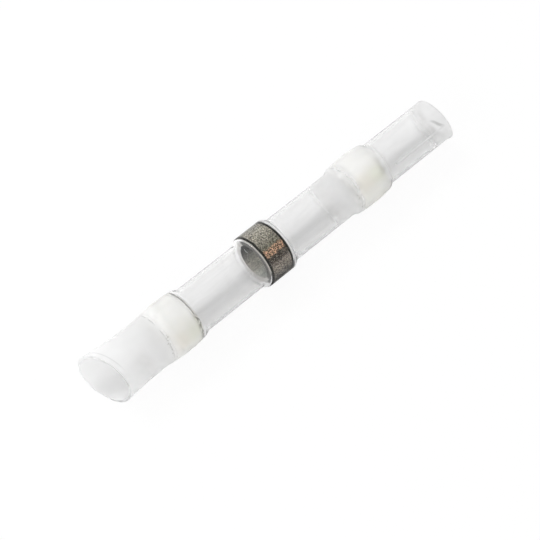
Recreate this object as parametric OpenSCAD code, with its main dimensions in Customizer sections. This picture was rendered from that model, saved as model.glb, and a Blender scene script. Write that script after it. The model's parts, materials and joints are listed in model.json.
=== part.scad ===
// Solder sleeve that joins two thin wires: a clear shrink tube, a ring of solder
// at its middle and a ring of sealing adhesive to either side.
// The sleeve lies along X, on z = 0. All sizes are in millimetres.

/* [Lengths along the sleeve] */
// Open end of the tube, from the tip of the near mouth to the near sealing ring
near_end_l = 4.15; // [3.2:0.05:9]
// Length of each sealing ring
seal_l = 2.15; // [1.5:0.05:4]
// Bare tube from the near sealing ring to the solder ring
near_waist_l = 4.97; // [2:0.01:12]
// Length of the solder ring
solder_l = 1.65; // [1.2:0.05:4]
// Bare tube from the solder ring to the far sealing ring
far_waist_l = 5.43; // [2:0.01:12]
// Open end of the tube, from the far sealing ring to the tip of the far mouth
far_end_l = 5.5; // [2:0.05:12]

/* [Rings] */
// Outside diameter of the solder ring
solder_d = 2.92; // [2.7:0.01:3.8]
// Bore of the solder ring, round the stripped ends of both wires
solder_bore = 2.17; // [1.9:0.01:2.5]
// Chamfer on the edges of the solder ring
solder_chamfer = 0.05; // [0.02:0.01:0.15]
// Outside diameter of a sealing ring at its middle
seal_d = 2.92; // [2.7:0.01:3.8]
// Bore of a sealing ring, round the insulation of one wire
seal_bore = 1.8; // [1.4:0.01:2.3]
// How much lower a sealing ring is at its ends than at its middle
seal_crown = 0.07; // [0:0.01:0.15]
// Chamfer on the edges of a sealing ring
seal_chamfer = 0.09; // [0.02:0.01:0.2]

/* [Shrink tube] */
// Wall of the tube
wall = 0.16; // [0.1:0.01:0.3]
// Room between a ring and the tube that is shrunk over it, all round
ring_gap = 0.01; // [0.005:0.005:0.05]
// How far the tube closes in between the rings, below a sealing ring's edge
waist_grip = 0.155; // [0.05:0.005:0.3]
// How far it closes in at its near end, below a sealing ring's edge
near_end_grip = 0.05; // [0.02:0.005:0.2]
// How far it closes in at its far end, below a sealing ring's edge
far_end_grip = 0.195; // [0.02:0.005:0.3]
// Length of the shoulder that steps down beside a ring
shoulder_l = 0.5; // [0.2:0.05:0.9]
// Depth of the flat that the warm tube took where it lay, under its widest places
lying_flat = 0.06; // [0.02:0.01:0.1]

/* [Mouths] */
// How far the near mouth is spread open, all round
near_flare = 0.2; // [0:0.01:0.4]
// Length of the spread at the near mouth
near_flare_l = 2.6; // [1:0.1:2.6]
// Slant of the cut across the near mouth
near_cut_angle = 15.7; // [0:0.1:25]
// Way that the near cut's short side faces, turned up about the sleeve from -Y
near_cut_turn = 24; // [-180:1:180]
// How far the far mouth is spread open, all round
far_flare = 0.1; // [0:0.01:0.3]
// Length of the spread at the far mouth
far_flare_l = 0.75; // [0.3:0.05:1.4]
// Slant of the cut across the far mouth
far_cut_angle = 9; // [0:0.1:25]
// Way that the far cut's short side faces, turned up about the sleeve from -Y
far_cut_turn = 99; // [-180:1:180]

/* [Hidden] */

$fn = 96;
shoulder_steps = 6;
crown_steps = 6;
flare_steps = 6;
near_flare_power = 1.25;
far_flare_power = 2;

tube_colour = [0.93, 0.94, 0.94, 0.5];
solder_colour = [0.45, 0.42, 0.38];
adhesive_colour = [0.95, 0.94, 0.90];

// Places along the sleeve, from the tip of the near mouth
near_seal_x = near_end_l;
solder_x = near_seal_x + seal_l + near_waist_l;
far_seal_x = solder_x + solder_l + far_waist_l;
sleeve_l = far_seal_x + seal_l + far_end_l;

// Radii of the tube's bore, which follow the rings that it is shrunk over
seal_edge_r = seal_d / 2 - seal_crown;
solder_pocket_r = solder_d / 2 + ring_gap;
seal_pocket_r = seal_edge_r + ring_gap;
waist_r = seal_pocket_r - waist_grip;
near_end_r = seal_pocket_r - near_end_grip;
far_end_r = seal_pocket_r - far_end_grip;
near_mouth_r = near_end_r + near_flare + wall;
far_mouth_r = far_end_r + far_flare + wall;

// Height of the axis when the flat under the widest swelling lies on z = 0
widest_r = max(solder_pocket_r, seal_pocket_r + seal_crown) + wall;
axis_h = widest_r - lying_flat;

// Wall that is left over the flat, a ring's gap clear of the rings
pressed_wall = wall - lying_flat - ring_gap;

// How far the block for the bore reaches past each mouth
bore_overrun = 0.5;

// Side of the cutting block, which clears the sleeve on every side
cutter_radii = 6;
cutter_w = cutter_radii * widest_r;

// Smooth step from a to b while t goes from 0 to 1
function step_between(a, b, t) = a + (b - a) * (1 - cos(180 * t)) / 2;

// Rise of a crowned ring over its own ends while t goes from 0 to 1
function crown_rise(t) = seal_crown * (1 - pow(2 * t - 1, 2));

// Points [x, radius] of each kind of stretch, ready to be joined end to end
function shoulder(x, from_r, to_r) =
    [for (i = [0 : shoulder_steps])
        [x + shoulder_l * i / shoulder_steps, step_between(from_r, to_r, i / shoulder_steps)]];
function crowned(x, edge_r, first, last) =
    [for (i = [first : last])
        [x + seal_l * i / crown_steps, edge_r + crown_rise(i / crown_steps)]];

// Bore of the tube from the near mouth to the far mouth, grown outwards by grow
function tube_line(grow) = [
    for (i = [0 : flare_steps - 1])
        [near_flare_l * i / flare_steps,
         near_end_r + near_flare * pow(1 - i / flare_steps, near_flare_power) + grow],
    each [for (p = concat(
        shoulder(near_seal_x - shoulder_l, near_end_r, seal_pocket_r),
        crowned(near_seal_x, seal_pocket_r, 1, crown_steps - 1),
        shoulder(near_seal_x + seal_l, seal_pocket_r, waist_r),
        shoulder(solder_x - shoulder_l, waist_r, solder_pocket_r),
        shoulder(solder_x + solder_l, solder_pocket_r, waist_r),
        shoulder(far_seal_x - shoulder_l, waist_r, seal_pocket_r),
        crowned(far_seal_x, seal_pocket_r, 1, crown_steps - 1),
        shoulder(far_seal_x + seal_l, seal_pocket_r, far_end_r)))
        [p[0], p[1] + grow]],
    for (i = [0 : flare_steps])
        [sleeve_l - far_flare_l * (1 - i / flare_steps),
         far_end_r + far_flare * pow(i / flare_steps, far_flare_power) + grow]
];

// Turns a profile of [x, radius] points about the sleeve's own axis, along X
module revolve_along_x(points) {
    rotate([90, 0, 90])
        rotate_extrude()
            polygon([for (p = points) [p[1], p[0]]]);
}

// Sets a child from the tip of the near mouth into the lying sleeve's place
module in_place() {
    translate([-sleeve_l / 2, 0, axis_h])
        children();
}

// Block of waste beyond a slanting cut that meets the tip of a mouth of radius r
module slanted_waste(r, angle, turn) {
    rotate([-turn, 0, 0])
        translate([r * tan(angle), 0, 0])
            rotate([0, 0, angle])
                translate([-cutter_w, -cutter_w / 2, -cutter_w / 2])
                    cube(cutter_w);
}

// Block under the given height above the surface that the sleeve lies on, all along it
module all_below(height) {
    translate([-cutter_w / 2, -cutter_w / 2, height - axis_h - cutter_w])
        cube([sleeve_l + cutter_w, cutter_w, cutter_w]);
}

// Full round of the tube's skin, before it is bored
module skin_round() {
    revolve_along_x(concat([[0, 0]], tube_line(wall), [[sleeve_l, 0]]));
}

// Space in the tube, which the flat presses in from below
module bore_space() {
    line = tube_line(0);
    last = len(line) - 1;
    difference() {
        revolve_along_x(concat(
            [[-bore_overrun, 0], [-bore_overrun, line[0][1]]],
            line,
            [[sleeve_l + bore_overrun, line[last][1]], [sleeve_l + bore_overrun, 0]]));
        all_below(pressed_wall);
    }
}

// Clear tube, shrunk over the three rings and left open at both ends
module shrink_tube() {
    color(tube_colour)
        in_place()
            difference() {
                skin_round();
                bore_space();
                slanted_waste(near_mouth_r, near_cut_angle, near_cut_turn);
                translate([sleeve_l, 0, 0])
                    mirror([1, 0, 0])
                        slanted_waste(far_mouth_r, far_cut_angle, far_cut_turn);
                all_below(0);
            }
}

// Ring of low-melting solder, with its flux, round the joint of the wires
module solder_ring() {
    bore_r = solder_bore / 2;
    skin_r = solder_d / 2;
    c = solder_chamfer;
    color(solder_colour)
        in_place()
            translate([solder_x, 0, 0])
                revolve_along_x([
                    [0, bore_r],
                    [solder_l, bore_r],
                    [solder_l, skin_r - c],
                    [solder_l - c, skin_r],
                    [c, skin_r],
                    [0, skin_r - c]]);
}

// Ring of sealing adhesive, slightly crowned, whose near face is at x
module sealing_ring(x) {
    bore_r = seal_bore / 2;
    c = seal_chamfer;
    crown_l = seal_l - 2 * c;
    crown = [
        for (i = [0 : crown_steps])
            let (along = c + crown_l * i / crown_steps)
                [along, seal_edge_r + crown_rise(along / seal_l)]
    ];
    color(adhesive_colour)
        in_place()
            translate([x, 0, 0])
                revolve_along_x(concat(
                    [[seal_l, seal_edge_r - c], [seal_l, bore_r], [0, bore_r], [0, seal_edge_r - c]],
                    crown));
}

module near_sealing_ring() {
    sealing_ring(near_seal_x);
}

module far_sealing_ring() {
    sealing_ring(far_seal_x);
}

shrink_tube();
solder_ring();
near_sealing_ring();
far_sealing_ring();
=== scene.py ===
"""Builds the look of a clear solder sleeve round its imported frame, with its stage and camera."""

import json
import math

import bpy
from bpy.props import FloatProperty, FloatVectorProperty, IntProperty, PointerProperty
from mathutils import Matrix, Vector


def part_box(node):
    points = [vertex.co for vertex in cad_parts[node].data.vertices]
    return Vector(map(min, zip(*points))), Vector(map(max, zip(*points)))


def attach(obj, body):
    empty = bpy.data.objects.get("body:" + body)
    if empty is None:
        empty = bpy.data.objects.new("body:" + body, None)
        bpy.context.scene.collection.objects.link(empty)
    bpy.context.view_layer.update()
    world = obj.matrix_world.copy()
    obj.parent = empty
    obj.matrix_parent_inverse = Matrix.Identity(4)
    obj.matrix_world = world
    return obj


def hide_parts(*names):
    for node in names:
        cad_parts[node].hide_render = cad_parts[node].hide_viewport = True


bl_info = {
    "name": "Solder Sleeve",
    "version": (1, 0, 0),
    "blender": (4, 5, 0),
    "location": "View3D > Sidebar > Sleeve",
    "description": "Models a clear solder sleeve with its rings, and sets its stage",
    "category": "Object",
}

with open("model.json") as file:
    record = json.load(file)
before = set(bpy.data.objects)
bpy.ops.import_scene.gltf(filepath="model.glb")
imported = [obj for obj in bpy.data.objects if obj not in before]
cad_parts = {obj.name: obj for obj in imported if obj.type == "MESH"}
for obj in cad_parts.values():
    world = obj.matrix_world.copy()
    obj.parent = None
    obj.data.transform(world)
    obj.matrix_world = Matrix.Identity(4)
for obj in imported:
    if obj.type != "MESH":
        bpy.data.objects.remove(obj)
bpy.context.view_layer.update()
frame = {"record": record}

MM = 0.001
BODY = "root"

# How steeply each mouth's spread grows towards its rim
NEAR_POWER = 1.25
FAR_POWER = 2

# Parts that each smooth stretch of the tube's line has, and each crown of a sealing ring
LINE_STEPS = 10
CROWN_STEPS = 12

# Longest stretch between two rows of points on the tube, the solder's outside and a ring's bore
TUBE_STRETCH = 0.25 * MM
BAND_STRETCH = 0.1 * MM
BORE_STRETCH = 0.2 * MM

# Material slots of the tube, and the solder ring's slot for its cut faces
SKIN, BORE, RIM = 0, 1, 2
CUT_FACE = 1

# Reach of a normal along the sleeve from which a face counts as a cut one
CUT_FACE_REACH = 0.75

# Points of a cut that lie closer than this are one
CUT_WELD = 1e-7

# Way that the sleeve's upper front side faces, and how far the films' edges lean that way
UPPER_FRONT = Vector((0, -0.427, 0.905))
FILM_LEAN = 0.41

# How far the films' edges wander along the sleeve, and the grain of all wandering per metre
FILM_WANDER = 0.25 * MM
WANDER_GRAIN = 1300

# Index of refraction of the tube's skin, bare and where it lies on the solder
TUBE_IOR = 1.32
FUSED_IOR = 1.12

# For each sealing ring, where round it the tints lie, its line's tone and its specks' span
SEAL_LOOKS = {"near": (0.32, 0.18, (0.21, 0.40)), "far": (0.39, 0.70, (0.36, 0.48))}

# The camera's sensor, in millimetres
SENSOR_WIDTH = 36.0

# A Mix node's sockets for two colours and for the mixed one
COLOUR_A, COLOUR_B, MIXED_COLOUR = 6, 7, 2

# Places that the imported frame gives
mounts = {m["name"]: m for m in frame["record"]["mounts"]}
AXIS_Z = mounts["near_wire_bore"]["pos_m"][2]
SEAL_BORE = 2 * MM * mounts["near_wire_bore"]["dims"]["r_mm"]


def span_along(node):
    """Where a CAD node starts and ends along the sleeve."""
    low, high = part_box(node)
    return low.x, high.x


def width_of(node):
    """How wide a CAD node is across the sleeve."""
    low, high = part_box(node)
    return high.y - low.y


class SleeveSizes(bpy.types.PropertyGroup):
    """Sizes of the sleeve that the frame's boxes don't give."""

    wall: FloatProperty(
        name="Wall", description="Wall of the shrink tube",
        default=0.16 * MM, min=0.05 * MM, unit="LENGTH", precision=5)
    ring_gap: FloatProperty(
        name="Room round a ring", description="Room between a ring and the tube over it",
        default=0.01 * MM, min=0.0, unit="LENGTH", precision=5)
    seal_crown: FloatProperty(
        name="Crown of a sealing ring", description="How much lower its ends are than its middle",
        default=0.07 * MM, min=0.0, unit="LENGTH", precision=5)
    waist_grip: FloatProperty(
        name="Grip between rings", description="How far the tube closes in between the rings",
        default=0.155 * MM, min=0.0, unit="LENGTH", precision=5)
    near_grip: FloatProperty(
        name="Grip at the near end", description="How far the tube closes in at its near end",
        default=0.05 * MM, min=0.0, unit="LENGTH", precision=5)
    far_grip: FloatProperty(
        name="Grip at the far end", description="How far the tube closes in at its far end",
        default=0.195 * MM, min=0.0, unit="LENGTH", precision=5)
    shoulder: FloatProperty(
        name="Shoulder", description="Length of the step down beside a ring",
        default=0.5 * MM, min=0.1 * MM, unit="LENGTH", precision=5)
    near_flare: FloatProperty(
        name="Near spread", description="How far the near mouth is spread open, all round",
        default=0.2 * MM, min=0.0, unit="LENGTH", precision=5)
    near_flare_length: FloatProperty(
        name="Near spread length", description="Length of the spread at the near mouth",
        default=2.6 * MM, min=0.5 * MM, unit="LENGTH", precision=5)
    far_flare: FloatProperty(
        name="Far spread", description="How far the far mouth is spread open, all round",
        default=0.1 * MM, min=0.0, unit="LENGTH", precision=5)
    far_flare_length: FloatProperty(
        name="Far spread length", description="Length of the spread at the far mouth",
        default=0.75 * MM, min=0.2 * MM, unit="LENGTH", precision=5)
    near_cut: FloatProperty(
        name="Near cut", description="Slant of the cut across the near mouth",
        default=math.radians(15.7), subtype="ANGLE")
    near_cut_turn: FloatProperty(
        name="Near cut's turn", description="Way that its short side faces, up from -Y",
        default=math.radians(24), subtype="ANGLE")
    far_cut: FloatProperty(
        name="Far cut", description="Slant of the cut across the far mouth",
        default=math.radians(9), subtype="ANGLE")
    far_cut_turn: FloatProperty(
        name="Far cut's turn", description="Way that its short side faces, up from -Y",
        default=math.radians(99), subtype="ANGLE")
    rim_round: FloatProperty(
        name="Rim rounding", description="Rounding of the tube's cut rims",
        default=0.035 * MM, min=0.0, unit="LENGTH", precision=6)
    solder_bore: FloatProperty(
        name="Solder ring's bore", description="Bore of the solder ring",
        default=2.17 * MM, min=1.0 * MM, unit="LENGTH", precision=5)
    solder_edge: FloatProperty(
        name="Solder ring's edge", description="Rounding of the solder ring's edges",
        default=0.03 * MM, min=0.0, unit="LENGTH", precision=6)
    # Reach of the painted shade round the bore on the solder ring's cut faces
    solder_face_shade: FloatProperty(
        name="Solder ring's tarnish", description="Radius up to which its cut faces are tarnished",
        default=1.36 * MM, min=0.0, unit="LENGTH", precision=5)
    seal_edge: FloatProperty(
        name="Sealing ring's edge", description="Rounding of a sealing ring's edges",
        default=0.09 * MM, min=0.0, unit="LENGTH", precision=6)
    wetting: FloatProperty(
        name="Wetting", description="How far a ring's skin is fused into the tube's wall",
        default=0.02 * MM, min=0.0, unit="LENGTH", precision=6)
    lying_flat: FloatProperty(
        name="Flat", description="Depth of the flat under the widest places of the lying tube",
        default=0.06 * MM, min=0.0, unit="LENGTH", precision=6)
    sides: IntProperty(
        name="Sides", description="Sides of each round",
        default=144, min=24)


class SleeveColours(bpy.types.PropertyGroup):
    """Colours of the sleeve's materials."""

    tube: FloatVectorProperty(
        name="Tube", description="Tint of the clear tube",
        subtype="COLOR", size=4, min=0, max=1, default=(0.995, 0.995, 0.995, 1))
    adhesive: FloatVectorProperty(
        name="Adhesive", description="Milky colour of the sealing rings",
        subtype="COLOR", size=4, min=0, max=1, default=(0.985, 0.98, 0.95, 1))
    adhesive_yellow: FloatVectorProperty(
        name="Yellowed adhesive", description="Colour of the rings' yellowed patches",
        subtype="COLOR", size=4, min=0, max=1, default=(0.90, 0.905, 0.78, 1))
    adhesive_pink: FloatVectorProperty(
        name="Pink adhesive", description="Colour of the rings' pinkish patches",
        subtype="COLOR", size=4, min=0, max=1, default=(0.95, 0.90, 0.81, 1))
    # Painted shadow, dark along both edges of the solder ring
    solder_edge: FloatVectorProperty(
        name="Solder's edges", description="Dark tarnish along both edges of the solder ring",
        subtype="COLOR", size=4, min=0, max=1, default=(0.012, 0.012, 0.010, 1))
    solder_copper: FloatVectorProperty(
        name="Copper stain", description="Stain that the flux leaves along the ring",
        subtype="COLOR", size=4, min=0, max=1, default=(0.92, 0.58, 0.37, 1))


class SleeveStage(bpy.types.PropertyGroup):
    """The camera, the floor and the lights."""

    camera_place: FloatVectorProperty(
        name="Camera", description="Place of the camera", subtype="XYZ",
        size=3, unit="LENGTH", default=(-38.57 * MM, -40.15 * MM, 84.574 * MM))
    camera_right: FloatVectorProperty(
        name="Camera's right", description="Way that the picture's right side faces",
        subtype="DIRECTION", size=3, default=(0.7256, -0.6886, 0.0))
    camera_up: FloatVectorProperty(
        name="Camera's up", description="Way that the picture's top faces",
        subtype="DIRECTION", size=3, default=(0.5772, 0.6083, 0.5452))
    lens: FloatProperty(
        name="Lens", description="Focal length on a 36 mm sensor, in millimetres", default=120.0)
    floor_side: FloatProperty(
        name="Floor", description="Side of the floor", default=0.9, unit="LENGTH")
    floor_tone: FloatProperty(
        name="Floor's tone", description="Brightness of the floor's colour",
        default=0.94, min=0.0, max=1.0, subtype="FACTOR")
    floor_drop: FloatProperty(
        name="Drop", description="Room between the sleeve and the floor",
        default=0.01 * MM, unit="LENGTH", precision=6)
    sky: FloatProperty(
        name="Sky", description="Strength of the even light all round", default=0.69, min=0.0)
    key: FloatProperty(
        name="Back softbox", description="Radiance of the softbox behind the sleeve",
        default=9.2, min=0.0)
    fill: FloatProperty(
        name="Low fill", description="Radiance of the low softbox on the camera's side",
        default=0.85, min=0.0)
    mouth_fill: FloatProperty(
        name="Mouth fill", description="Radiance of the low softbox on the near mouth's side",
        default=3.5, min=0.0)
    glass_shadow: FloatProperty(
        name="Shadow through the tube",
        description="Share of the floor's own shading in what the tube and the gloss show",
        default=0.74, min=0.0, max=1.0, subtype="FACTOR")
    floor_shadow: FloatProperty(
        name="Shadow", description="Share of the floor's look that its own shading gives",
        default=0.07, min=0.0, max=1.0, subtype="FACTOR")


def crowned(start, end, edge_r, crown, steps):
    """Points (x, radius) over a stretch that is highest at its middle, by the crown."""
    return [(start + (end - start) * i / steps,
             edge_r + crown * (1 - (2 * i / steps - 1) ** 2))
            for i in range(steps + 1)]


def tube_line(sizes):
    """Points (x, radius) along the tube's bore, from the near tip to the far tip."""
    low, high = span_along("shrink_tube")
    solder = span_along("solder_ring")
    near_seal = span_along("near_sealing_ring")
    far_seal = span_along("far_sealing_ring")
    solder_r = width_of("solder_ring") / 2 + sizes.ring_gap
    seal_r = width_of("near_sealing_ring") / 2 - sizes.seal_crown + sizes.ring_gap
    waist_r = seal_r - sizes.waist_grip
    near_r = seal_r - sizes.near_grip
    far_r = seal_r - sizes.far_grip
    steps = LINE_STEPS

    def shoulder(x, start_r, end_r):
        return [(x + sizes.shoulder * i / steps,
                 start_r + (end_r - start_r) * (1 - math.cos(math.pi * i / steps)) / 2)
                for i in range(steps + 1)]

    def over_seal(seal):
        """The crown between the two shoulders, which have its first and last points."""
        return crowned(*seal, seal_r, sizes.seal_crown, steps)[1:-1]

    near_mouth = [(low + sizes.near_flare_length * i / steps,
                   near_r + sizes.near_flare * (1 - i / steps) ** NEAR_POWER)
                  for i in range(steps)]
    far_mouth = [(high - sizes.far_flare_length * (1 - i / steps),
                  far_r + sizes.far_flare * (i / steps) ** FAR_POWER)
                 for i in range(steps + 1)]
    return (near_mouth
            + shoulder(near_seal[0] - sizes.shoulder, near_r, seal_r) + over_seal(near_seal)
            + shoulder(near_seal[1], seal_r, waist_r)
            + shoulder(solder[0] - sizes.shoulder, waist_r, solder_r)
            + shoulder(solder[1], solder_r, waist_r)
            + shoulder(far_seal[0] - sizes.shoulder, waist_r, seal_r) + over_seal(far_seal)
            + shoulder(far_seal[1], seal_r, far_r)
            + far_mouth)


def spaced(line, longest):
    """The same line with points added, so that no stretch is longer than longest."""
    out = [line[0]]
    for (x0, r0), (x1, r1) in zip(line, line[1:]):
        parts = max(1, math.ceil(abs(x1 - x0) / longest))
        out += [(x0 + (x1 - x0) * i / parts, r0 + (r1 - r0) * i / parts)
                for i in range(1, parts + 1)]
    return out


def deselect_all():
    """Leaves nothing selected, in object mode."""
    if bpy.context.object and bpy.context.object.mode != "OBJECT":
        bpy.ops.object.mode_set(mode="OBJECT")
    bpy.ops.object.select_all(action="DESELECT")


def select_only(obj):
    """Makes the object the only selected one, and the active one."""
    deselect_all()
    obj.select_set(True)
    bpy.context.view_layer.objects.active = obj


def turned(name, line, sides):
    """A round skin along the sleeve's axis, pulled ring by ring through the points (x, radius)."""
    deselect_all()
    (x, radius), rest = line[0], line[1:]
    bpy.ops.mesh.primitive_circle_add(
        vertices=sides, radius=radius, fill_type="NOTHING",
        location=(x, 0, AXIS_Z), rotation=(0, math.pi / 2, 0))
    obj = bpy.context.object
    obj.name = obj.data.name = name
    bpy.ops.object.transform_apply(location=True, rotation=True, scale=True)
    bpy.ops.object.mode_set(mode="EDIT")
    bpy.ops.mesh.select_all(action="SELECT")
    for next_x, next_r in rest:
        bpy.ops.mesh.extrude_region_move(TRANSFORM_OT_translate={"value": (next_x - x, 0, 0)})
        ratio = next_r / radius
        bpy.ops.transform.resize(value=(1, ratio, ratio), center_override=(next_x, 0, AXIS_Z))
        x, radius = next_x, next_r
    bpy.ops.object.mode_set(mode="OBJECT")
    return obj


def closed_ring(name, outline, sides):
    """A solid ring round the sleeve's axis, whose section is the outline of points (x, radius)."""
    obj = turned(name, outline, sides)
    # The last row of points is joined to the first
    bpy.ops.object.mode_set(mode="EDIT")
    bpy.ops.mesh.select_all(action="DESELECT")
    bpy.ops.mesh.select_mode(type="EDGE")
    bpy.ops.mesh.select_non_manifold(extend=False)
    bpy.ops.mesh.bridge_edge_loops()
    bpy.ops.mesh.select_all(action="SELECT")
    bpy.ops.mesh.normals_make_consistent(inside=False)
    bpy.ops.object.mode_set(mode="OBJECT")
    return obj


def cut_plane(tip, rim_radius, angle, turn, way):
    """Place and facing of a slanting cut, whose long side is at the mouth's tip."""
    normal = Vector((way, 0, 0))
    side = Vector((0, -math.cos(turn), math.sin(turn)))
    slant = (normal + side * math.tan(angle)).normalized()
    return Vector((tip, 0, AXIS_Z)) - normal * rim_radius * math.tan(angle), slant


def cut_mouth(place, slant):
    """Cuts the active skin along a plane and clears what lies beyond it."""
    bpy.ops.object.mode_set(mode="EDIT")
    bpy.ops.mesh.select_all(action="SELECT")
    bpy.ops.mesh.bisect(plane_co=place, plane_no=slant, clear_outer=True, threshold=CUT_WELD)
    bpy.ops.object.mode_set(mode="OBJECT")


def press_flat(obj, height, slots):
    """Presses the faces of those material slots flat where they reach below a height."""
    select_only(obj)
    bpy.ops.object.mode_set(mode="EDIT")
    bpy.ops.mesh.select_mode(type="VERT")
    bpy.ops.mesh.select_all(action="DESELECT")
    bpy.ops.object.mode_set(mode="OBJECT")
    vertices = obj.data.vertices
    for face in obj.data.polygons:
        if face.material_index in slots:
            for index in face.vertices:
                vertices[index].select = vertices[index].co.z < height
    bpy.ops.object.mode_set(mode="EDIT")
    bpy.ops.transform.resize(value=(1, 1, 0), center_override=(0, 0, height))
    bpy.ops.object.mode_set(mode="OBJECT")


def apply_modifier(obj, kind, **settings):
    """Adds a modifier to the object, sets it and applies it."""
    select_only(obj)
    modifier = obj.modifiers.new(kind.title(), kind)
    for key, value in settings.items():
        setattr(modifier, key, value)
    bpy.ops.object.modifier_apply(modifier=modifier.name)


def smooth(obj, angle=40):
    """Shades the object smooth, apart from its sharp edges."""
    select_only(obj)
    bpy.ops.object.shade_smooth_by_angle(angle=math.radians(angle))


def grey(value):
    """A neutral colour of that brightness."""
    return value, value, value, 1


class Finish:
    """Makes one node material, with short calls for the nodes that several finishes share."""

    def __init__(self, name):
        self.material = bpy.data.materials.new(name)
        self.material.use_nodes = True
        self.tree = self.material.node_tree
        self.shader = self.tree.nodes["Principled BSDF"]

    def add(self, kind, **values):
        node = self.tree.nodes.new(kind)
        for key, value in values.items():
            setattr(node, key, value)
        return node

    def link(self, start, end):
        self.tree.links.new(start, end)

    def feed(self, socket, value):
        """Links a node's output to a socket, or sets a plain value on it."""
        if isinstance(value, bpy.types.NodeSocket):
            self.link(value, socket)
        else:
            socket.default_value = value

    def set(self, **values):
        """Values on the shader's own sockets."""
        for key, value in values.items():
            self.shader.inputs[key.replace("_", " ")].default_value = value

    def drive(self, **sources):
        """Links nodes' outputs to the shader's own sockets."""
        for key, source in sources.items():
            self.link(source, self.shader.inputs[key.replace("_", " ")])

    def place(self, scale=(1, 1, 1)):
        """Object coordinates measured from the sleeve's axis, stretched by scale."""
        coordinates = self.add("ShaderNodeTexCoord")
        mapping = self.add("ShaderNodeMapping")
        mapping.inputs["Location"].default_value = (0, 0, -AXIS_Z * scale[2])
        mapping.inputs["Scale"].default_value = scale
        self.link(coordinates.outputs["Object"], mapping.inputs["Vector"])
        return mapping.outputs["Vector"]

    def noise(self, scale, detail=3.0, roughness=0.5, stretch=(1, 1, 1)):
        """Noise whose grain is 1 / scale metres."""
        node = self.add("ShaderNodeTexNoise")
        node.inputs["Scale"].default_value = scale
        node.inputs["Detail"].default_value = detail
        node.inputs["Roughness"].default_value = roughness
        self.link(self.place(stretch), node.inputs["Vector"])
        return node.outputs["Fac"]

    def ramp(self, factor, *stops):
        """A colour ramp through (position, colour) stops."""
        node = self.add("ShaderNodeValToRGB")
        elements = node.color_ramp.elements
        for i, (position, colour) in enumerate(stops):
            element = elements[i] if i < 2 else elements.new(position)
            element.position, element.color = position, colour
        self.link(factor, node.inputs["Fac"])
        return node.outputs["Color"]

    def between(self, factor, first, second):
        """One colour mixed into another by a factor."""
        node = self.add("ShaderNodeMix", data_type="RGBA")
        self.link(factor, node.inputs["Factor"])
        self.feed(node.inputs[COLOUR_A], first)
        self.feed(node.inputs[COLOUR_B], second)
        return node.outputs[MIXED_COLOUR]

    def tinted(self, first, second):
        """One colour times another."""
        node = self.add("ShaderNodeMix", data_type="RGBA", blend_type="MULTIPLY")
        node.inputs["Factor"].default_value = 1.0
        self.link(first, node.inputs[COLOUR_A])
        self.link(second, node.inputs[COLOUR_B])
        return node.outputs[MIXED_COLOUR]

    def joined(self, first, second, operation="ADD"):
        """Two numbers joined by a Math node, which adds them unless told otherwise."""
        node = self.add("ShaderNodeMath", operation=operation)
        self.feed(node.inputs[0], first)
        self.feed(node.inputs[1], second)
        return node.outputs["Value"]

    def product(self, first, *others):
        """Numbers multiplied together."""
        for other in others:
            first = self.joined(first, other, "MULTIPLY")
        return first

    def window(self, value, low, high, soft):
        """1 while a value is between low and high, 0 outside, with soft sides."""
        sides = []
        for edge, way in ((low, 1), (high, -1)):
            node = self.add("ShaderNodeMapRange", interpolation_type="SMOOTHSTEP")
            node.inputs["From Min"].default_value = edge - way * soft / 2
            node.inputs["From Max"].default_value = edge + way * soft / 2
            self.link(value, node.inputs["Value"])
            sides.append(node.outputs["Result"])
        return self.product(*sides)

    def reach(self, vector, direction):
        """How far a place reaches in a direction."""
        node = self.add("ShaderNodeVectorMath", operation="DOT_PRODUCT")
        self.link(vector, node.inputs[0])
        node.inputs[1].default_value = direction
        return node.outputs["Value"]

    def along(self, wander, lean=0.0):
        """Place along the sleeve on leaning planes, which wanders a little from spot to spot."""
        drift = self.product(self.joined(self.noise(WANDER_GRAIN), -0.5), wander)
        return self.joined(self.reach(self.place(), Vector((1, 0, 0)) + lean * UPPER_FRONT), drift)

    def round_angle(self):
        """Turn round the axis, from 0 at the underside through -Y, the top and +Y to 1."""
        parts = self.add("ShaderNodeSeparateXYZ")
        self.link(self.place(), parts.inputs["Vector"])
        turn = self.joined(parts.outputs["Y"], parts.outputs["Z"], "ARCTAN2")
        return self.joined(self.product(turn, 0.5 / math.pi), 0.5)

    def radius(self):
        """Distance from the sleeve's axis."""
        parts = self.add("ShaderNodeSeparateXYZ")
        self.link(self.place(), parts.inputs["Vector"])
        squares = [self.joined(parts.outputs[name], 2.0, "POWER") for name in ("Y", "Z")]
        return self.joined(self.joined(*squares), 0.5, "POWER")

    def depth_behind(self, place, facing):
        """How far a spot lies behind a plane."""
        coordinates = self.add("ShaderNodeTexCoord")
        return self.joined(self.reach(coordinates.outputs["Object"], -facing), place.dot(facing))

    def bump(self, height, strength, distance):
        """Fine relief from a height."""
        node = self.add("ShaderNodeBump")
        node.inputs["Strength"].default_value = strength
        node.inputs["Distance"].default_value = distance
        self.link(height, node.inputs["Height"])
        self.drive(Normal=node.outputs["Normal"])

    def show_mixed(self, share, other):
        """Mixes a share of another shader into this one and shows the result."""
        mix = self.add("ShaderNodeMixShader")
        self.link(share, mix.inputs["Fac"])
        self.link(self.shader.outputs[0], mix.inputs[1])
        self.link(other, mix.inputs[2])
        self.link(mix.outputs["Shader"], self.tree.nodes["Material Output"].inputs["Surface"])

    def milky(self, milk, forward):
        """Lets a share of milk scatter the light, that much of it forward through the skin."""
        share = self.product(milk, forward)
        back = self.joined(self.joined(milk, share, "SUBTRACT"),
                           self.joined(1.0, share, "SUBTRACT"), "DIVIDE")
        self.drive(Transmission_Weight=self.joined(1.0, back, "SUBTRACT"))
        scatter = self.add("ShaderNodeBsdfTranslucent")
        scatter.inputs["Color"].default_value = self.shader.inputs["Base Color"].default_value
        self.show_mixed(share, scatter.outputs[0])


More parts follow.
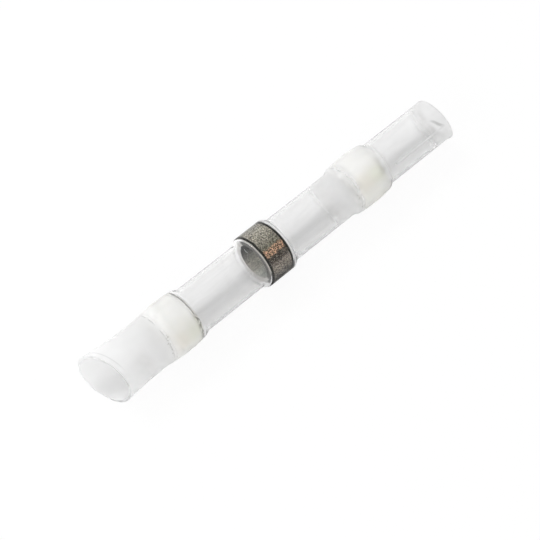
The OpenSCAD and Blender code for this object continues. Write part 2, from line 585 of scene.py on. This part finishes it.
def wear(obj, *materials):
    """Gives the object those materials, the first one all over."""
    obj.data.materials.clear()
    for material in materials:
        obj.data.materials.append(material)


def clear_tube_finish(colours, near_plane):
    """Satin shrink tube, clear over the solder and milky near its ends and its seals."""
    finish = Finish("clear_tube")
    finish.set(Base_Color=colours.tube, IOR=TUBE_IOR)
    x, close_x = finish.along(FILM_WANDER), finish.along(0.06 * MM)
    leaning = finish.along(FILM_WANDER, FILM_LEAN)
    angle = finish.round_angle()
    near_tip, far_tip = span_along("shrink_tube")
    solder = span_along("solder_ring")
    near_seal, far_seal = span_along("near_sealing_ring"), span_along("far_sealing_ring")

    # Bare tube, faintly streaked and clearest where it is stretched over the solder
    stretched = finish.window(x, solder[0] - 1.1 * MM, solder[1] + 0.3 * MM, 0.5 * MM)
    streaks = finish.noise(3200, detail=2, stretch=(0.12, 1, 1))
    bare = finish.ramp(streaks, (0.35, grey(0.07)), (0.65, grey(0.13)))
    milk = finish.between(stretched, bare, grey(0.015))

    # Films: where each one is measured, its start and end, how soft they are, and its share
    clouds = finish.ramp(finish.noise(700, detail=4), (0.35, grey(0.93)), (0.65, grey(1)))
    for value, start, end, soft, share in (
            (x, near_tip - 1.0 * MM, near_seal[1] - 0.25 * MM, 0.5 * MM, 0.42),
            (leaning, near_seal[0] - 1.0 * MM, near_seal[0] + 0.8 * MM, 0.9 * MM, 0.92),
            (leaning, far_seal[0] - 1.3 * MM, far_seal[0] + 0.5 * MM, 1.8 * MM, 0.97),
            (x, far_seal[0] + 0.2 * MM, far_seal[1] + 0.3 * MM, 0.5 * MM, 0.30),
            (leaning, far_tip - 1.1 * MM, far_tip + 2.0 * MM, 1.4 * MM, 0.72)):
        film = finish.product(finish.window(value, start, end, soft), clouds)
        milk = finish.between(film, milk, grey(share))

    # Denser films on the upper side, at the near end and over the far ring
    for start, end, share in (
            (near_tip - 1.0 * MM, near_seal[0] + 0.1 * MM, 0.80),
            (far_seal[0] + 0.2 * MM, far_seal[1] + 0.3 * MM, 0.60)):
        upper = finish.product(finish.window(x, start, end, 0.5 * MM),
                               finish.window(angle, 0.42, 0.95, 0.20))
        milk = finish.between(upper, milk, grey(share))

    # A painted reflection: a pale streak along the far end
    painted_streak = finish.product(
        finish.window(x, far_seal[1] + 0.9 * MM, far_tip - 0.8 * MM, 0.5 * MM),
        finish.window(angle, 0.343, 0.359, 0.010))
    milk = finish.between(painted_streak, milk, grey(0.6))

    # A broken white painted highlight where the tube climbs each sealing ring, and a painted glint
    # just past the solder
    broken = finish.ramp(finish.noise(3000, detail=3), (0.40, grey(0)), (0.56, grey(1)))
    for ring in (near_seal, far_seal):
        shine = finish.product(
            finish.window(close_x, ring[0] - 0.05 * MM, ring[0] + 0.05 * MM, 0.03 * MM),
            finish.window(angle, 0.24, 0.60, 0.06), broken)
        milk = finish.between(shine, milk, grey(1))
    painted_glint = finish.window(close_x, solder[1] - 0.05 * MM, solder[1] + 0.09 * MM, 0.03 * MM)
    milk = finish.between(painted_glint, milk, grey(0.95))
    finish.milky(milk, forward=0.5)

    # A grey line behind the near rim, on its upper side
    near_rim_line = finish.product(
        finish.window(finish.depth_behind(*near_plane), 0.26 * MM, 0.32 * MM, 0.05 * MM),
        finish.window(angle, 0.42, 0.82, 0.08))
    tone = finish.between(near_rim_line, tuple(colours.tube), grey(0.72))

    # A short grey crescent of painted shade before the far rim, set aslant
    aslant = finish.joined(x, finish.product(angle, 6.5 * MM))
    crescent_shade = finish.product(
        finish.window(aslant, far_tip + 1.42 * MM, far_tip + 1.62 * MM, 0.10 * MM),
        finish.window(angle, 0.36, 0.435, 0.03))
    tone = finish.between(crescent_shade, tone, grey(0.5))

    # A broken grey arc before each sealing ring, with dark specks about it
    dots = finish.ramp(finish.noise(8000, detail=2), (0.60, grey(0)), (0.66, grey(1)))
    for ring in (near_seal, far_seal):
        arc = finish.product(
            finish.window(close_x, ring[0] - 0.12 * MM, ring[0] - 0.06 * MM, 0.02 * MM),
            finish.window(angle, 0.22, 0.66, 0.08), broken)
        tone = finish.between(arc, tone, grey(0.64))
        specks = finish.product(
            finish.window(x, ring[0] - 0.22 * MM, ring[0] + 0.10 * MM, 0.1 * MM),
            finish.window(angle, 0.21, 0.42, 0.06), dots)
        tone = finish.between(specks, tone, (0.30, 0.30, 0.28, 1))

    # Smoothest where it is stretched tight, over the solder and past each sealing ring
    tight = stretched
    for ring in (near_seal, far_seal):
        tight = finish.joined(
            tight, finish.window(x, ring[1] - 0.35 * MM, ring[1] + 0.4 * MM, 0.2 * MM), "MAXIMUM")
    satin = finish.ramp(streaks, (0.35, grey(0.12)), (0.75, grey(0.20)))

    # Hardly any gloss of its own where it lies on the solder
    over_solder = finish.window(close_x, solder[0] - 0.15 * MM, solder[1] + 0.1 * MM, 0.1 * MM)
    finish.drive(Base_Color=tone, Roughness=finish.between(tight, satin, grey(0.05)),
                 IOR=finish.between(over_solder, grey(TUBE_IOR), grey(FUSED_IOR)))
    return finish.material


def tube_bore_finish(colours):
    """Smooth inner wall of the tube, milky at the near mouth and greyed by painted shade at the far
    one.
    """
    finish = Finish("tube_bore")
    finish.set(Base_Color=colours.tube, IOR=TUBE_IOR, Roughness=0.06)
    x = finish.along(FILM_WANDER)
    near_tip, far_tip = span_along("shrink_tube")
    near_seal_start = span_along("near_sealing_ring")[0]
    # Painted shade inside the far mouth
    far_mouth_shade = finish.window(x, far_tip - 1.1 * MM, far_tip + 1.0 * MM, 0.5 * MM)
    finish.drive(Base_Color=finish.between(far_mouth_shade, tuple(colours.tube), grey(0.90)))
    film = finish.window(x, near_tip - 3.0 * MM, near_seal_start - 1.8 * MM, 2.4 * MM)
    finish.milky(finish.between(film, grey(0), grey(0.85)), forward=0.4)
    return finish.material


def cut_rim_finish(colours):
    """Matt, whitish face where the tube was cut."""
    finish = Finish("cut_tube_rim")
    finish.set(Transmission_Weight=0.85, Roughness=0.4, IOR=1.25)
    finish.drive(Base_Color=finish.ramp(
        finish.noise(2400, detail=3), (0.38, grey(0.72)), (0.60, tuple(colours.tube))))
    finish.bump(finish.noise(9000, detail=3), strength=0.4, distance=0.006 * MM)
    return finish.material


def adhesive_finish(colours, start, end, tint_angle, line_tone, speck_angles):
    """Milky adhesive, tinted in patches low down, with a broken dark line and specks at its end."""
    finish = Finish("sealing_adhesive")
    finish.set(Roughness=0.55, IOR=1.2, Subsurface_Weight=0.3, Subsurface_Scale=0.8 * MM,
               Subsurface_Radius=(1.0, 0.95, 0.85))
    angle = finish.round_angle()
    x, wide_x = finish.along(0.05 * MM), finish.along(0.5 * MM)

    # Faint tints all over the lower side
    patches = finish.ramp(finish.noise(1100, detail=3), (0.42, grey(0)), (0.58, grey(1)))
    tint = finish.between(patches, tuple(colours.adhesive_yellow), tuple(colours.adhesive_pink))
    lower_side = finish.ramp(angle, (0.16, grey(0.4)), (0.24, grey(1)),
                             (0.40, grey(0.9)), (0.47, grey(0)))
    shown = finish.ramp(finish.noise(800, detail=2), (0.36, grey(0.1)), (0.58, grey(0.5)))
    colour = finish.between(finish.product(shown, lower_side), tuple(colours.adhesive), tint)

    # A pink patch near its start and a yellow one near its end
    around = finish.window(angle, tint_angle - 0.05, tint_angle + 0.05, 0.06)
    for low, high, stain in ((start + 0.2 * MM, start + 1.1 * MM, colours.adhesive_pink),
                             (end - 1.0 * MM, end - 0.1 * MM, colours.adhesive_yellow)):
        patch = finish.product(finish.window(wide_x, low, high, 0.4 * MM), around)
        colour = finish.between(patch, colour, tuple(stain))

    # Painted shade, greyer from the top towards the back
    colour = finish.tinted(colour, finish.ramp(angle, (0.57, grey(1)), (0.66, grey(0.88))))

    # The line is broken below and whole above
    broken = finish.ramp(finish.noise(4200, detail=3), (0.38, grey(0.2)), (0.54, grey(1)))
    whole = finish.ramp(angle, (0.40, grey(0)), (0.46, grey(1)))
    line = finish.product(finish.window(x, end - 0.18 * MM, end - 0.115 * MM, 0.02 * MM),
                          finish.joined(broken, whole, "MAXIMUM"))
    colour = finish.between(line, colour, (line_tone, line_tone, 0.92 * line_tone, 1))
    dots = finish.ramp(finish.noise(8000, detail=2), (0.52, grey(0)), (0.56, grey(1)))
    specks = finish.product(finish.window(x, end - 0.30 * MM, end + 0.2 * MM, 0.1 * MM),
                            finish.window(angle, *speck_angles, 0.04), dots)
    finish.drive(Base_Color=finish.between(specks, colour, (0.22, 0.22, 0.19, 1)))
    finish.bump(finish.noise(5200, detail=3), strength=0.3, distance=0.01 * MM)
    return finish.material


def solder_finish(colours, start, end, bore_r):
    """Dull, grainy solder, tarnished and with painted reflection and shade round it, painted shadow
    along both edges, a painted glint on the near one and a copper stain from its flux.
    """
    finish = Finish("solder")
    wobble = finish.product(finish.joined(finish.noise(1500, detail=3), -0.5), 0.035)
    angle = finish.joined(finish.round_angle(), wobble)
    x = finish.along(0.08 * MM)

    # Tone of the outside round the ring, from the underside through -Y and the top to +Y, partly
    # the solder's own dull grey and partly painted reflection and shade in its light and dark bands
    tone = finish.ramp(
        angle, (0.205, (0.02, 0.02, 0.018, 1)), (0.228, (0.06, 0.06, 0.055, 1)),
        (0.250, (0.13, 0.12, 0.11, 1)), (0.305, (0.21, 0.185, 0.155, 1)),
        (0.334, (0.17, 0.145, 0.125, 1)), (0.354, (0.045, 0.036, 0.03, 1)),
        (0.388, (0.04, 0.032, 0.025, 1)), (0.410, (0.10, 0.088, 0.066, 1)),
        (0.452, (0.165, 0.16, 0.12, 1)), (0.476, (0.22, 0.21, 0.17, 1)),
        (0.500, (0.26, 0.245, 0.20, 1)), (0.555, (0.38, 0.36, 0.30, 1)),
        (0.590, (0.36, 0.345, 0.30, 1)), (0.656, (0.24, 0.235, 0.21, 1)))
    grain = finish.noise(15000, detail=3, roughness=0.6)
    outside = finish.tinted(tone, finish.ramp(
        grain, (0.38, grey(0.18)), (0.50, grey(0.80)), (0.62, grey(2.3))))
    sparks = finish.ramp(finish.noise(12000, detail=2), (0.54, grey(0)), (0.62, grey(0.6)))
    outside = finish.between(sparks, outside, (0.34, 0.30, 0.24, 1))

    # The stain is a dark band with copper-coloured grains
    stain = finish.ramp(
        angle, (0.388, grey(0)), (0.398, grey(1)), (0.432, grey(1)), (0.446, grey(0)))
    outside = finish.between(stain, outside, (0.07, 0.05, 0.035, 1))
    copper_grains = finish.ramp(
        finish.noise(14000, detail=3, roughness=0.7), (0.50, grey(0)), (0.56, grey(1)))
    outside = finish.between(
        finish.product(stain, copper_grains), outside, tuple(colours.solder_copper))

    # Painted shadow dark along both edges, with a painted glint on the near one
    middle = finish.window(x, start + 0.18 * MM, end - 0.15 * MM, 0.03 * MM)
    outside = finish.between(middle, tuple(colours.solder_edge), outside)
    glint = finish.product(finish.window(x, start - 1.0 * MM, start + 0.03 * MM, 0.03 * MM),
                           finish.window(angle, 0.30, 0.80, 0.04))
    outside = finish.between(glint, outside, (0.60, 0.58, 0.53, 1))

    # Painted light and shade in the bore: paler towards its underside, darker at its top
    bore_light_and_shade = finish.ramp(
        angle, (0.00, (0.62, 0.61, 0.55, 1)), (0.08, (0.50, 0.51, 0.47, 1)),
        (0.20, (0.40, 0.41, 0.38, 1)), (0.50, (0.12, 0.12, 0.12, 1)),
        (0.79, (0.17, 0.17, 0.17, 1)), (0.92, (0.62, 0.60, 0.54, 1)))
    bore_grain = finish.ramp(grain, (0.36, grey(0.60)), (0.64, grey(1.4)))
    in_bore = finish.window(finish.radius(), -1.0, bore_r + 0.02 * MM, 0.02 * MM)
    finish.drive(Base_Color=finish.between(in_bore, outside, finish.tinted(bore_light_and_shade, bore_grain)),
                 Roughness=finish.between(in_bore, grey(0.42), grey(0.8)))

    # No metallic gloss on the underside, so that it stays dark as painted shade
    lit = finish.ramp(angle, (0.222, grey(0)), (0.245, grey(1)))
    finish.drive(Metallic=finish.product(lit, 0.6), Specular_IOR_Level=finish.product(lit, 0.5))
    finish.bump(grain, strength=0.6, distance=0.012 * MM)
    return finish.material


def cut_solder_finish(face_shade_r):
    """Bright, smooth face where the solder was cut, with painted light and shade round the axis and
    painted shade round the bore towards the top.
    """
    finish = Finish("cut_solder")
    finish.set(Roughness=0.5)
    radius, angle = finish.radius(), finish.round_angle()
    # Painted light and shade round the axis: paler at the underside and the back, darker from the
    # front to the top
    tone = finish.ramp(
        angle, (0.10, (0.78, 0.77, 0.75, 1)), (0.20, (0.66, 0.64, 0.62, 1)),
        (0.30, (0.45, 0.44, 0.42, 1)), (0.50, (0.45, 0.44, 0.42, 1)),
        (0.66, (0.97, 0.96, 0.95, 1)), (1.00, (0.97, 0.96, 0.95, 1)))
    # Painted shade: dark round the bore towards the top, and near the outer edge low on the front
    upper = finish.product(finish.window(radius, -1.0, face_shade_r, 0.05 * MM),
                           finish.window(angle, 0.21, 0.64, 0.04))
    lower = finish.product(finish.window(radius, face_shade_r - 0.08 * MM, 1.0, 0.05 * MM),
                           finish.window(angle, 0.16, 0.27, 0.04))
    tone = finish.between(finish.joined(upper, lower, "MAXIMUM"), tone, (0.13, 0.13, 0.12, 1))
    patches = finish.noise(2600, detail=3)
    stained = finish.ramp(patches, (0.35, (0.80, 0.78, 0.76, 1)), (0.6, grey(1)))
    finish.drive(Base_Color=finish.tinted(tone, stained))
    finish.bump(patches, strength=0.3, distance=0.01 * MM)
    return finish.material


class SLEEVE_OT_shrink_tube(bpy.types.Operator):
    """Models the clear shrink tube over its three rings"""

    bl_idname = "sleeve.shrink_tube"
    bl_label = "Shrink tube"

    def execute(self, context):
        sizes = context.scene.sleeve_sizes
        line = tube_line(sizes)
        skin = [(x, r + sizes.wall) for x, r in spaced(line, TUBE_STRETCH)]
        tube = turned("clear_shrink_tube", skin, sizes.sides)
        # A leaning skin's wall reaches past the skin's own end, so each cut stands back
        near_lean = NEAR_POWER * sizes.near_flare / sizes.near_flare_length * sizes.wall
        far_lean = FAR_POWER * sizes.far_flare / sizes.far_flare_length * sizes.wall
        near_plane = cut_plane(
            skin[0][0] + near_lean, skin[0][1], sizes.near_cut, sizes.near_cut_turn, -1)
        far_plane = cut_plane(
            skin[-1][0] - far_lean, skin[-1][1], sizes.far_cut, sizes.far_cut_turn, 1)
        colours = context.scene.sleeve_colours
        wear(tube, clear_tube_finish(colours, near_plane), tube_bore_finish(colours),
             cut_rim_finish(colours))
        cut_mouth(*near_plane)
        cut_mouth(*far_plane)
        apply_modifier(tube, "SOLIDIFY", thickness=sizes.wall, offset=-1, use_even_offset=True,
                       material_offset=BORE, material_offset_rim=RIM)
        apply_modifier(tube, "BEVEL", width=sizes.rim_round, segments=3, limit_method="ANGLE",
                       angle_limit=math.radians(50))
        # The flat that the tube lies on is pressed in on the bore's side too
        press_flat(tube, sizes.wall - sizes.lying_flat - sizes.ring_gap, (BORE,))
        press_flat(tube, 0.0, (SKIN, BORE, RIM))
        smooth(tube)
        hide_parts("shrink_tube")
        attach(tube, BODY)
        return {"FINISHED"}


class SLEEVE_OT_solder_ring(bpy.types.Operator):
    """Models the ring of solder"""

    bl_idname = "sleeve.solder_ring"
    bl_label = "Solder ring"

    def execute(self, context):
        sizes = context.scene.sleeve_sizes
        start, end = span_along("solder_ring")
        skin_r = width_of("solder_ring") / 2 + sizes.ring_gap + sizes.wetting
        bore_r = sizes.solder_bore / 2
        edge = sizes.solder_edge
        across = spaced([(start + edge, skin_r), (end - edge, skin_r)], BAND_STRETCH)
        back = spaced([(end, bore_r), (start, bore_r)], BORE_STRETCH)
        outline = [(start, skin_r - edge)] + across + [(end, skin_r - edge)] + back
        ring = closed_ring("solder_band", outline, sizes.sides)
        smooth(ring)
        colours = context.scene.sleeve_colours
        wear(ring, solder_finish(colours, start, end, bore_r),
             cut_solder_finish(sizes.solder_face_shade))
        for face in ring.data.polygons:
            if abs(face.normal.x) > CUT_FACE_REACH:
                face.material_index = CUT_FACE
        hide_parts("solder_ring")
        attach(ring, BODY)
        return {"FINISHED"}


class SLEEVE_OT_sealing_rings(bpy.types.Operator):
    """Models both rings of sealing adhesive"""

    bl_idname = "sleeve.sealing_rings"
    bl_label = "Sealing rings"

    def execute(self, context):
        sizes = context.scene.sleeve_sizes
        bore_r = SEAL_BORE / 2
        edge = sizes.seal_edge
        for side, look in SEAL_LOOKS.items():
            node = side + "_sealing_ring"
            start, end = span_along(node)
            edge_r = width_of(node) / 2 - sizes.seal_crown + sizes.ring_gap + sizes.wetting
            crown = crowned(start + edge, end - edge, edge_r, sizes.seal_crown, CROWN_STEPS)
            back = spaced([(end, bore_r), (start, bore_r)], BORE_STRETCH)
            outline = [(start, edge_r - edge)] + crown + [(end, edge_r - edge)] + back
            ring = closed_ring(side + "_adhesive_ring", outline, sizes.sides)
            smooth(ring)
            wear(ring, adhesive_finish(context.scene.sleeve_colours, start, end, *look))
            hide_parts(node)
            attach(ring, BODY)
        return {"FINISHED"}


def white_for_the_eye(paint, camera_share, glass_share):
    """Mixes white into a floor's look, and keeps a share of its shading for each kind of ray."""
    path = paint.add("ShaderNodeLightPath")
    glassy = paint.joined(path.outputs["Is Glossy Ray"], path.outputs["Is Transmission Ray"],
                          "MAXIMUM")
    share = paint.joined(paint.product(path.outputs["Is Camera Ray"], 1 - camera_share),
                         paint.product(glassy, 1 - glass_share), "MAXIMUM")
    white = paint.add("ShaderNodeEmission")
    white.inputs["Strength"].default_value = 1.0
    paint.show_mixed(share, white.outputs["Emission"])


class SLEEVE_OT_stage(bpy.types.Operator):
    """Sets the floor, the lights and the camera"""

    bl_idname = "sleeve.stage"
    bl_label = "Stage"

    def execute(self, context):
        stage = context.scene.sleeve_stage
        self.floor(stage)
        self.sky(context, stage)
        for name, place, size, radiance in (  # places and sizes in metres
                ("back_softbox", (-0.03, 0.122, 0.155), (0.07, 0.07), stage.key),
                ("low_fill", (0.12, -0.30, 0.07), (0.4, 0.12), stage.fill),
                ("mouth_fill", (-0.27, 0.0, 0.15), (0.3, 0.10), stage.mouth_fill)):
            self.softbox(name, place, size, radiance)
        self.camera(context, stage)
        context.scene.view_settings.view_transform = "Standard"
        return {"FINISHED"}

    def floor(self, stage):
        """A pale floor that keeps a faint shadow."""
        deselect_all()
        bpy.ops.mesh.primitive_plane_add(size=stage.floor_side, location=(0, 0, -stage.floor_drop))
        floor = bpy.context.object
        floor.name = "floor"
        paint = Finish("pale_floor")
        paint.set(Base_Color=grey(stage.floor_tone), Roughness=0.9, Specular_IOR_Level=0.1)
        white_for_the_eye(paint, stage.floor_shadow, stage.glass_shadow)
        wear(floor, paint.material)

    def sky(self, context, stage):
        """Even light all round, which the camera sees as plain white."""
        world = bpy.data.worlds.new("studio")
        context.scene.world = world
        world.use_nodes = True
        nodes, link = world.node_tree.nodes, world.node_tree.links.new
        sky = nodes["Background"]
        sky.inputs["Color"].default_value = grey(1)
        path = nodes.new("ShaderNodeLightPath")
        bright = nodes.new("ShaderNodeMapRange")
        bright.inputs["To Min"].default_value = stage.sky
        bright.inputs["To Max"].default_value = 1.0
        link(path.outputs["Is Camera Ray"], bright.inputs["Value"])
        link(bright.outputs["Result"], sky.inputs["Strength"])

    def softbox(self, name, place, size, radiance):
        """A rectangular area light that faces the sleeve, whose face has that radiance."""
        deselect_all()
        bpy.ops.object.light_add(type="AREA", location=place)
        lamp = bpy.context.object
        lamp.name = name
        lamp.data.shape = "RECTANGLE"
        lamp.data.size, lamp.data.size_y = size
        lamp.data.energy = radiance * math.pi * size[0] * size[1]
        way = Vector() - Vector(place)
        lamp.rotation_euler = way.to_track_quat("-Z", "Y").to_euler()

    def camera(self, context, stage):
        """The camera at the photograph's place."""
        bpy.ops.object.camera_add()
        camera = context.object
        right = Vector(stage.camera_right).normalized()
        up = Vector(stage.camera_up).normalized()
        back = right.cross(up)
        turn = Matrix((right, up, back)).transposed().to_4x4()
        camera.matrix_world = Matrix.Translation(Vector(stage.camera_place)) @ turn
        camera.data.lens = stage.lens
        camera.data.sensor_width = SENSOR_WIDTH
        camera.data.clip_start = 0.001
        camera.data.clip_end = 10.0
        context.scene.camera = camera


class SLEEVE_PT_panel(bpy.types.Panel):
    """Lists the steps that build the sleeve and its stage"""

    bl_label = "Solder sleeve"
    bl_idname = "SLEEVE_PT_panel"
    bl_space_type = "VIEW_3D"
    bl_region_type = "UI"
    bl_category = "Sleeve"

    def draw(self, context):
        for step in STEPS:
            self.layout.operator(step.bl_idname)
        for group in (context.scene.sleeve_sizes, context.scene.sleeve_colours,
                      context.scene.sleeve_stage):
            box = self.layout.box()
            for name in group.__annotations__:
                box.prop(group, name)


STEPS = (SLEEVE_OT_stage, SLEEVE_OT_solder_ring, SLEEVE_OT_sealing_rings, SLEEVE_OT_shrink_tube)
CLASSES = (SleeveSizes, SleeveColours, SleeveStage, *STEPS, SLEEVE_PT_panel)


def register():
    for cls in CLASSES:
        bpy.utils.register_class(cls)
    bpy.types.Scene.sleeve_sizes = PointerProperty(type=SleeveSizes)
    bpy.types.Scene.sleeve_colours = PointerProperty(type=SleeveColours)
    bpy.types.Scene.sleeve_stage = PointerProperty(type=SleeveStage)


def unregister():
    del bpy.types.Scene.sleeve_stage
    del bpy.types.Scene.sleeve_colours
    del bpy.types.Scene.sleeve_sizes
    for cls in reversed(CLASSES):
        bpy.utils.unregister_class(cls)


def main():
    register()
    bpy.ops.sleeve.stage()
    bpy.ops.sleeve.solder_ring()
    bpy.ops.sleeve.sealing_rings()
    bpy.ops.sleeve.shrink_tube()
    deselect_all()


if __name__ == "__main__":
    main()
